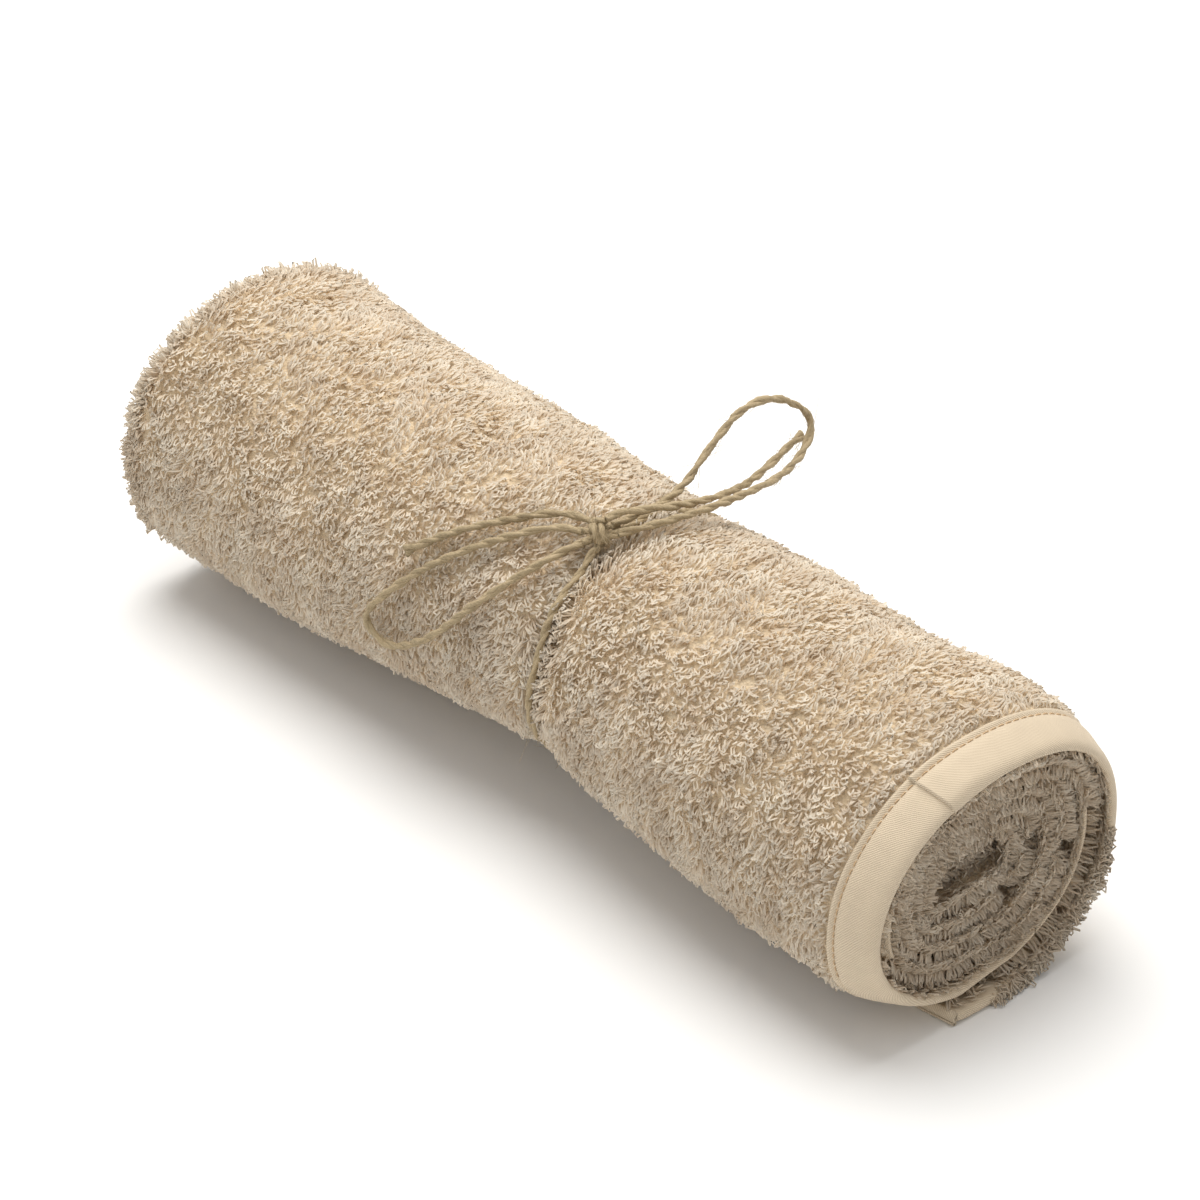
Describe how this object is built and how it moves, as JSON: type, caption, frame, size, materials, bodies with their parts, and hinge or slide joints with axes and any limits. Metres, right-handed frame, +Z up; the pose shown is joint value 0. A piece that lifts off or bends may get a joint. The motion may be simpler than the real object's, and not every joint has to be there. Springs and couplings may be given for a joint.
{
  "type": "rolled bath towel",
  "caption": "Terry bath towel folded lengthwise and wound into a roll, with bound edges and a thin twine tied round it in a bow.",
  "frame": {"origin": "centre of the bottom of the roll's bounding box, on the surface it lies on, without the twine's free loops and ends", "axes": "+X along the roll towards its bound end, +Z up, the tail's edge under the roll towards -Y"},
  "size_m": [0.352, 0.1288, 0.1161],
  "materials": {
    "terry_cloth": "warm tan cotton loop pile on both faces",
    "binding_tape": "smooth pale tan cotton twill tape, stitched down",
    "jute_twine": "two-strand twisted jute with loose fibres"
  },
  "bodies": {
    "root": {"terry_roll": "terry_cloth", "edge_binding": "binding_tape", "tail_binding": "binding_tape", "twine_ring": "jute_twine", "bow_knot": "jute_twine", "bow_loop_left": "jute_twine", "bow_end_left": "jute_twine", "bow_loop_right": "jute_twine", "bow_end_right": "jute_twine"}
  },
  "joints": []
}
